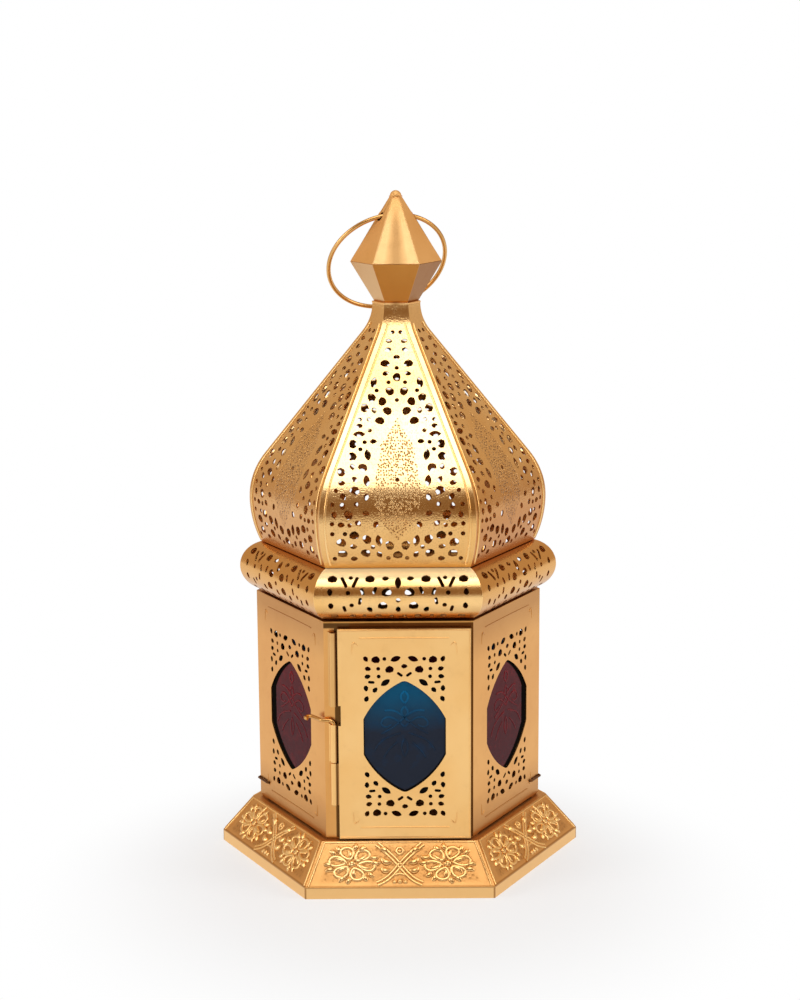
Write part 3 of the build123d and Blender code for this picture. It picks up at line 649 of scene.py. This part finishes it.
def stroke_mesh(name, strokes, flatten, smooth=True):
    """One mesh from strokes of (points in mm, radii in mm, closed), drawn in the XY plane."""
    curve = bpy.data.curves.new(name, "CURVE")
    curve.dimensions = "3D"
    curve.bevel_depth = MM
    curve.bevel_resolution = 1
    curve.resolution_u = 4
    curve.use_fill_caps = True
    for points, radii, closed in strokes:
        line = curve.splines.new("NURBS" if smooth else "POLY")
        line.points.add(len(points) - 1)
        for point, place, radius in zip(line.points, points, radii):
            point.co = (*[value * MM for value in (*place, 0)[:3]], 1)
            point.radius = radius
        line.use_cyclic_u = closed
        if smooth:
            line.order_u = 3
            line.use_endpoint_u = not closed
    holder = place_object(name, curve)
    evaluated = holder.evaluated_get(bpy.context.evaluated_depsgraph_get())
    mesh = bpy.data.meshes.new_from_object(evaluated)
    bpy.data.objects.remove(holder)
    bpy.data.curves.remove(curve)
    mesh.transform(Matrix.Diagonal((1, 1, flatten, 1)))
    return mesh


def stretched(strokes, factor):
    """The strokes with their x times a factor. A factor of -1 mirrors them."""
    return [([(factor * x, y) for x, y in points], radii, closed) for points, radii, closed in strokes]


def face_matrix(origin, up):
    """Places a drawing on a front face: x stays across, y goes up the face and z points out of it."""
    up = Vector(up).normalized()
    across = Vector((1, 0, 0))
    out = across.cross(up)
    turn = Matrix((across, up, out)).transposed().to_4x4()
    return Matrix.Translation(Vector(origin)) @ turn


def window_place(x, y):
    """Places a drawing on an upright front face, level with the middle of the window."""
    return face_matrix(Vector((x, y, WINDOW_Z)) * MM, (0, 0, 1))


def add_piece(name, mesh, material, body):
    """A piece with its finish, which rides on a body and fills a material slot."""
    piece = place_object(name, mesh)
    mesh.materials.clear()
    mesh.materials.append(material)
    mesh.shade_smooth()
    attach(piece, body)


def on_sides(name, mesh, matrix, material, sides=SIDES):
    """A copy of a front drawing on each named side of the housing."""
    for side in sides:
        copy = mesh.copy()
        copy.transform(Matrix.Rotation(SIDE_TURN * SIDES.index(side), 4, "Z") @ matrix)
        add_piece(f"{name}_{side}", copy, material, "housing")
    print(name, "on", len(sides), "sides,", len(mesh.polygons), "faces each")


print("stroke helpers ready")

# %% [markdown]
# ## The base's stamped scroll
# Each sloping face of the base has the same stamp: two ribbons that cross in the middle, a flower head
# on either side, and leaves between them. The right half is drawn once and mirrored.

# %% Scroll strokes
BASE_FOOT = Vector((0, -66.4, 4.9)) * MM
BASE_TOP = Vector((0, -54.8, 20.2)) * MM
SWELL = (0.5, 0.95, 1.05, 0.95, 0.45)
SCROLL_FLATTEN = 0.62
PETALS, LOOP_STEPS = 6, 8
PETAL_MIDDLE, PETAL_REACH, PETAL_SPREAD, PETAL_RADIUS = 4.5, 2.7, 0.44, 0.8


def leaf_stroke(start, end, bow, width):
    """A leaf from start to end that bows sideways and swells in its middle."""
    (x0, y0), (x1, y1) = start, end
    dx, dy = x1 - x0, y1 - y0
    points = []
    for share, lean in ((0, 0), (0.25, 0.75), (0.5, 1), (0.75, 0.75), (1, 0)):
        points.append((x0 + share * dx - lean * bow * dy, y0 + share * dy + lean * bow * dx))
    return points, [width * radius for radius in SWELL], False


def ring_stroke(centre, radius_x, radius_y, width, count=8):
    """A closed ring through a few points round its centre."""
    points = [
        (centre[0] + radius_x * cos(2 * pi * step / count), centre[1] + radius_y * sin(2 * pi * step / count))
        for step in range(count)
    ]
    return points, [width] * count, True


def ribbon(points, gap, width):
    """Two ridges that run side by side along a line of points."""
    strokes = []
    for hand in (gap / 2, -gap / 2):
        ridge = []
        for index, (x, y) in enumerate(points):
            before, after = points[max(index - 1, 0)], points[min(index + 1, len(points) - 1)]
            along = (Vector(after) - Vector(before)).normalized()
            ridge.append((x - hand * along.y, y + hand * along.x))
        strokes.append((ridge, [width] * len(ridge), False))
    return strokes


def medallion(centre, stretch):
    """A lobed flower head: a boss, looped petals with a rib in each, and curled leaf tips between them."""
    def spot(radius, turn):
        return centre[0] + stretch * radius * cos(turn), centre[1] + radius * sin(turn)

    strokes = [ring_stroke(centre, 0.5 * stretch, 0.5, 1.0)]
    for petal in range(PETALS):
        turn = 2 * pi * (petal + 0.2) / PETALS
        loop = []
        for step in range(LOOP_STEPS):
            bend = 2 * pi * step / LOOP_STEPS
            loop.append(spot(PETAL_MIDDLE + PETAL_REACH * cos(bend), turn + PETAL_SPREAD * sin(bend)))
        strokes.append((loop, [PETAL_RADIUS] * len(loop), True))
        strokes.append(leaf_stroke(spot(2.2, turn), spot(5.6, turn + 0.12), 0.15, 0.95))
        for start, end in ((0.34, 0.46), (0.62, 0.78)):
            strokes.append(leaf_stroke(spot(6.0, turn + start), spot(8.5, turn + end), 0.20, 1.15))
    return strokes


half_scroll = medallion((19.4, 0.1), 1.36)
half_scroll += ribbon(
    [(-9.4, 8.4), (-6.2, 5.8), (-2.8, 2.6), (0.2, -0.8), (3.2, -4.4), (6.2, -7.0), (9.2, -8.2)], 1.4, 0.62
)
half_scroll += [
    leaf_stroke((8.2, 5.8), (4.8, 4.4), -0.25, 1.4),
    leaf_stroke((7.4, 2.4), (3.4, 1.0), 0.25, 1.4),
    leaf_stroke((7.4, -1.4), (4.0, -2.4), 0.28, 1.4),
    leaf_stroke((1.6, -6.6), (2.4, -8.2), 0.10, 1.0),
]
middle = [
    ring_stroke((0, 5.4), 1.9, 1.9, 0.6, 4), leaf_stroke((0, 6.0), (0, 4.8), 0.0, 0.9),
    leaf_stroke((0, -6.2), (0, -8.2), 0.0, 1.1),
    ([(-1.9, -4.6), (0, -3.4), (1.9, -4.6)], (0.4, 0.6, 0.4), False),
]
scroll = stroke_mesh("base_scroll", half_scroll + stretched(half_scroll, -1) + middle, SCROLL_FLATTEN)
slope_place = face_matrix((BASE_FOOT + BASE_TOP) / 2, BASE_TOP - BASE_FOOT)
on_sides("base_scroll", scroll, slope_place, gold["relief"])

# %% [markdown]
# A plain raised line frames the scroll, close to the fold on three sides of the slope.

# %% Frame line on the base
FRAME_RADIUS, FRAME_FLATTEN = 0.5, 0.8
frame_points = [(-37.0, -9.2), (-30.6, 9.0), (30.6, 9.0), (37.0, -9.2)]
frame_stroke = (frame_points, [FRAME_RADIUS] * len(frame_points), False)
frame_line = stroke_mesh("base_frame_line", [frame_stroke], FRAME_FLATTEN, smooth=False)
on_sides("base_frame_line", frame_line, slope_place, gold["relief"])

# %% [markdown]
# ## Bead lines on the dome
# Every gore has a raised line a little inside each edge, pressed to stiffen the sheet. It follows the
# gore's own outline: a foot arc, a shoulder arc, a straight slope and a hollow neck. Working the outline
# out from the same few radii puts the line exactly on the sheet.

# %% Gore outline
EAVE_TOP, BULGE_RISE, FOOT_FLAT, BULGE_FLAT = 133.75, 18.75, 50.2, 53.87
SHOULDER, SLOPE, NECK_FLAT, NECK_BEND = 32.9, radians(35), 8.57, 20.0
BULGE_Z = EAVE_TOP + BULGE_RISE
FOOT_RADIUS = (BULGE_RISE ** 2 + (BULGE_FLAT - FOOT_FLAT) ** 2) / (2 * (BULGE_FLAT - FOOT_FLAT))
SLOPE_TOP = NECK_FLAT + NECK_BEND * (1 - cos(SLOPE))
SLOPE_FOOT = BULGE_FLAT - SHOULDER * (1 - cos(SLOPE))
SLOPE_FOOT_Z = BULGE_Z + SHOULDER * sin(SLOPE)
SLOPE_TOP_Z = SLOPE_FOOT_Z + (SLOPE_FOOT - SLOPE_TOP) / tan(SLOPE)
NECK_Z = SLOPE_TOP_Z + NECK_BEND * sin(SLOPE)


def gore_flat(z):
    """The gore's distance from the axis at a height, in mm."""
    if z < BULGE_Z:
        return BULGE_FLAT - FOOT_RADIUS + sqrt(FOOT_RADIUS ** 2 - (BULGE_Z - z) ** 2)
    if z < SLOPE_FOOT_Z:
        return BULGE_FLAT - SHOULDER + sqrt(SHOULDER ** 2 - (z - BULGE_Z) ** 2)
    if z < SLOPE_TOP_Z:
        return SLOPE_FOOT - (z - SLOPE_FOOT_Z) * tan(SLOPE)
    return NECK_FLAT + NECK_BEND - sqrt(NECK_BEND ** 2 - (NECK_Z - z) ** 2)


print("gore outline from", EAVE_TOP, "to", round(NECK_Z, 1), "mm")

# %% [markdown]
# Each bead line goes up the outline in short steps, at the same distance from the gore's edge all the way.

# %% Bead lines
BEAD_INSET, BEAD_RADIUS, BEAD_STEPS = 2.3, 0.5, 56
BEAD_LIFT, BEAD_SHORT = 1.2, 9.0
bead_strokes = []
for hand in (1, -1):
    points = []
    for step in range(BEAD_STEPS + 1):
        z = EAVE_TOP + BEAD_LIFT + step / BEAD_STEPS * (NECK_Z - BEAD_SHORT - EAVE_TOP)
        flat = gore_flat(z)
        points.append((hand * (flat * HALF_SIDE - BEAD_INSET), -flat, z))
    bead_strokes.append((points, [BEAD_RADIUS] * len(points), False))
beads = stroke_mesh("gore_bead_line", bead_strokes, 1.0, smooth=False)
on_sides("gore_bead_line", beads, Matrix(), gold["relief"])

# %% [markdown]
# ## Lines on the panels and the door
# The flat panels carry a faint pressed frame: a straight line above and below the piercing and a small
# curl at each corner. The door also has a rolled rim, on the three sides that don't carry the hinge, and
# its lines ride on the door. The other five panels stand on the housing.

# %% Panel lines
DOOR_FACE, PANEL_FACE, LINE_FLATTEN = -54.7, -52.0, 0.6
LINE_SHARE, LINE_BOW, LINE_RADII, CURL_RADII = 0.86, 0.25, (0.28, 0.32, 0.28), (0.2, 0.34, 0.3, 0.15)
RIM_SIDE, RIM_TOP, RIM_FOOT, RIM_RADIUS = 26.2, 44.5, -42.9, 0.42


def panel_lines(half_width, top, foot):
    """A line at the top and one at the foot of a panel, with a curl at each corner."""
    strokes = []
    end = half_width * LINE_SHARE
    for level, flip in ((top, -1), (foot, 1)):
        strokes.append(([(-end, level), (0, level + LINE_BOW), (end, level)], LINE_RADII, False))
        for hand in (1, -1):
            x = hand * half_width
            curl = [
                (x - hand * 2.2, level + flip * 3.0), (x - hand * 0.6, level + flip * 1.2),
                (x, level + flip * 3.2), (x + hand * 0.2, level + flip * 6.5),
            ]
            strokes.append((curl, CURL_RADII, False))
    return strokes


rim_points = [(-RIM_SIDE, RIM_TOP), (RIM_SIDE, RIM_TOP), (RIM_SIDE, RIM_FOOT), (-RIM_SIDE, RIM_FOOT)]
rim_stroke = (rim_points, [RIM_RADIUS] * len(rim_points), False)
door_rim = stroke_mesh("door_rim", [rim_stroke], LINE_FLATTEN, smooth=False)
door_lines = stroke_mesh("door_lines", panel_lines(half_width=20.9, top=41.2, foot=-38.6), LINE_FLATTEN)
for name, mesh in (("door_rim", door_rim), ("door_lines", door_lines)):
    mesh.transform(window_place(DOOR_SHIFT, DOOR_FACE))
    add_piece(name, mesh, gold["door"], "door")
side_lines = stroke_mesh("panel_lines", panel_lines(half_width=22.5, top=42.4, foot=-38.8), LINE_FLATTEN)
side_place = window_place(0, PANEL_FACE)
on_sides("panel_lines", side_lines, side_place, gold["panel"], SIDES[1:])

# %% [markdown]
# ## Scrolls in the glass
# The panes were pressed in a mould with a vine on it. Its loops stand a fraction of a millimetre out of
# the glass, inside the window. They have a brighter copy of the glass as a painted highlight, so they show as
# paler lines.

# %% Glass scrolls
DOOR_GLASS_FACE, SIDE_GLASS_FACE, VINE_FLATTEN = -54.1, -51.4, 0.35
FINE = [0.42] * 6


def vine(stretch):
    """The vine's strokes round the middle of a window."""
    right = [
        ([(0, 4.0), (3.5, 7.5), (7.5, 8.5), (10.0, 5.5), (7.6, 3.2), (5.2, 5.0)], FINE, False),
        ([(-9.5, 1.0), (-4.0, 4.0), (0, 8.0), (4.5, 11.5), (8.0, 10.8)], FINE, False),
        ([(0, 12.5), (2.6, 10.2), (0, 8.0)], FINE, False),
        ([(1.5, 1.5), (6.0, 0), (10.5, -2.5), (12.2, -6.0)], FINE, False),
        ([(3.0, -2.5), (6.5, -5.0), (8.5, -9.0)], FINE, False),
        ([(0, -1.0), (2.5, -4.5), (0, -8.5)], FINE, False),
        ([(0, 19.0), (3.0, 16.5), (0, 14.0)], FINE, False),
    ]
    return stretched(right + stretched(right, -1), stretch)


door_vine = stroke_mesh("glass_vine", vine(1.0), VINE_FLATTEN)
door_vine.transform(window_place(DOOR_SHIFT, DOOR_GLASS_FACE))
add_piece("glass_vine_front", door_vine, glass["door vine"], "door")
side_vine = stroke_mesh("glass_vine", vine(SIDE_STRETCH), VINE_FLATTEN)
vine_place = window_place(0, SIDE_GLASS_FACE)
on_sides("glass_vine", side_vine, vine_place, glass["red vine"], SIDES[1::2])
on_sides("glass_vine", side_vine, vine_place, glass["blue vine"], SIDES[2::2])

# %% [markdown]
# ## Floor, light and camera
# The lantern stands on a plain white floor under one large soft light from above and two weaker ones
# from the sides. The white of the background is the floor's and the world's own colour, seen by the
# camera and by reflections, so no lamp has to be turned up for it.

# %% Floor
FLOOR_REACH = 12.0
SHADOW_MIDDLE = (0.0, -0.05, 0.0)
floor_mesh = bpy.data.meshes.new("floor")
sheet = bmesh.new()
bmesh.ops.create_grid(sheet, x_segments=1, y_segments=1, size=FLOOR_REACH)
sheet.to_mesh(floor_mesh)
sheet.free()
floor = place_object("floor", floor_mesh)


def seen_rays(tree):
    """1 for rays from the camera, a reflection or through glass."""
    path = add_node(tree, "ShaderNodeLightPath")
    seen = maths(tree, "ADD", path.outputs["Is Camera Ray"], path.outputs["Is Glossy Ray"])
    total = maths(tree, "ADD", seen, path.outputs["Is Transmission Ray"])
    return maths(tree, "MINIMUM", total, 1.0)


floor_material, tree, surface = new_material("white floor")
surface.inputs["Base Color"].default_value = (0.86, 0.86, 0.86, 1)
surface.inputs["Roughness"].default_value = 0.9
surface.inputs["Specular IOR Level"].default_value = 0.0
glow = add_node(tree, "ShaderNodeEmission", {"Color": (1, 1, 1, 1), "Strength": 1.0})
blend = add_node(tree, "ShaderNodeMixShader")
# The floor glows less near the lantern, centred a little in front of it: there its real shadow shows, and the
# lower glow paints a soft shadow round the base.
distance = add_node(tree, "ShaderNodeVectorMath", {1: SHADOW_MIDDLE}, operation="DISTANCE")
join(tree, object_place(tree), distance.inputs[0])
whitening = map_range(
    tree, distance.outputs["Value"], {"From Min": 0.06, "From Max": 0.16, "To Min": 0.45, "To Max": 1.0},
    interpolation_type="SMOOTHSTEP",
)
join(tree, maths(tree, "MULTIPLY", seen_rays(tree), whitening), blend.inputs["Fac"])
join(tree, surface.outputs[0], blend.inputs[1])
join(tree, glow.outputs[0], blend.inputs[2])
join(tree, blend.outputs[0], tree.nodes["Material Output"].inputs["Surface"])
floor_mesh.materials.append(floor_material)
print("floor:", len(floor_mesh.polygons), "face")

# %% [markdown]
# The world is white. The camera and the reflections see it at full strength, and as a light it is about
# half as strong, so the shadows keep their depth.

# %% World
world = bpy.data.worlds.new("studio")
world.use_nodes = True
bpy.context.scene.world = world
tree = world.node_tree
backdrop = tree.nodes["Background"]
backdrop.inputs["Color"].default_value = (1, 1, 1, 1)
strength = map_range(tree, seen_rays(tree), {"To Min": 0.55, "To Max": 1.0})
join(tree, strength, backdrop.inputs["Strength"])
print("world ready")

# %% [markdown]
# Polished metal only looks like metal when it has something dark to mirror. A tall dark card stands all
# round, out of the picture, as it would in a studio. Only reflections see it, so it takes no light away.

# %% Dark card
CARD_RADIUS, CARD_HEIGHT = 1.5, 2.4
card_mesh = bpy.data.meshes.new("dark_card")
wall = bmesh.new()
bmesh.ops.create_circle(wall, segments=48, radius=CARD_RADIUS)
rise = bmesh.ops.extrude_edge_only(wall, edges=wall.edges[:])
raised = [part for part in rise["geom"] if isinstance(part, bmesh.types.BMVert)]
bmesh.ops.translate(wall, verts=raised, vec=(0, 0, CARD_HEIGHT))
wall.to_mesh(card_mesh)
wall.free()
card = place_object("dark_card", card_mesh)
for rays in ("camera", "diffuse", "transmission", "volume_scatter", "shadow"):
    setattr(card, f"visible_{rays}", False)
card_material, tree, surface = new_material("dark card")
tree.nodes.remove(surface)
tone = add_node(tree, "ShaderNodeEmission", {"Strength": 1.0})
depth = parts_of(tree, object_place(tree))["Y"]
toward_back = map_range(tree, depth, {"From Min": -CARD_RADIUS, "From Max": CARD_RADIUS})
card_tones = ((0.20, (0.24, 0.135, 0.06)), (0.55, (0.60, 0.46, 0.32)))
join(tree, ramp(tree, toward_back, card_tones), tone.inputs["Color"])
join(tree, tone.outputs[0], tree.nodes["Material Output"].inputs["Surface"])
card_mesh.materials.append(card_material)
print("card:", len(card_mesh.polygons), "faces")

# %% [markdown]
# Three soft lamps light the lantern: the strongest above it and in front, and one on either side.

# %% Lamps
def soft_lamp(name, place, target, size, power):
    """A rectangular lamp that faces a target."""
    lamp = bpy.data.lights.new(name, "AREA")
    lamp.shape = "RECTANGLE"
    lamp.size, lamp.size_y = size
    lamp.energy = power
    holder = place_object(name, lamp)
    holder.location = place
    holder.rotation_euler = (Vector(target) - Vector(place)).to_track_quat("-Z", "Y").to_euler()


soft_lamp("top_softbox", (0.0, -0.75, 1.15), (0, 0, 0.16), (0.9, 0.7), 5.0)
soft_lamp("left_softbox", (-1.1, -0.35, 0.55), (0, 0, 0.14), (0.5, 0.7), 4.0)
soft_lamp("right_softbox", (1.1, -0.25, 0.6), (0, 0, 0.14), (0.5, 0.7), 3.5)
print("lamps: 3")

# %% [markdown]
# The camera repeats the photograph's viewpoint: a little above the lantern, looking down at its middle
# with a long lens, and turned by a third of a degree as the photograph is.

# %% Camera
PITCH, ROLL, DISTANCE = radians(11.927), radians(-0.3663), 0.87026
AIM = Vector((0.001, 0, 0.15064))
camera_data = bpy.data.cameras.new("camera")
camera_data.sensor_fit = "VERTICAL"
camera_data.sensor_height = 36.0
camera_data.lens = 74.5
camera_data.clip_end = 100.0
camera = place_object("camera", camera_data)
camera.location = AIM + DISTANCE * Vector((0, -cos(PITCH), sin(PITCH)))
upright = (AIM - camera.location).to_track_quat("-Z", "Y").to_matrix()
camera.rotation_euler = (upright @ Matrix.Rotation(ROLL, 3, "Z")).to_euler()
bpy.context.scene.camera = camera
bpy.context.scene.view_settings.view_transform = "Standard"
print("camera at", [round(value, 3) for value in camera.location])
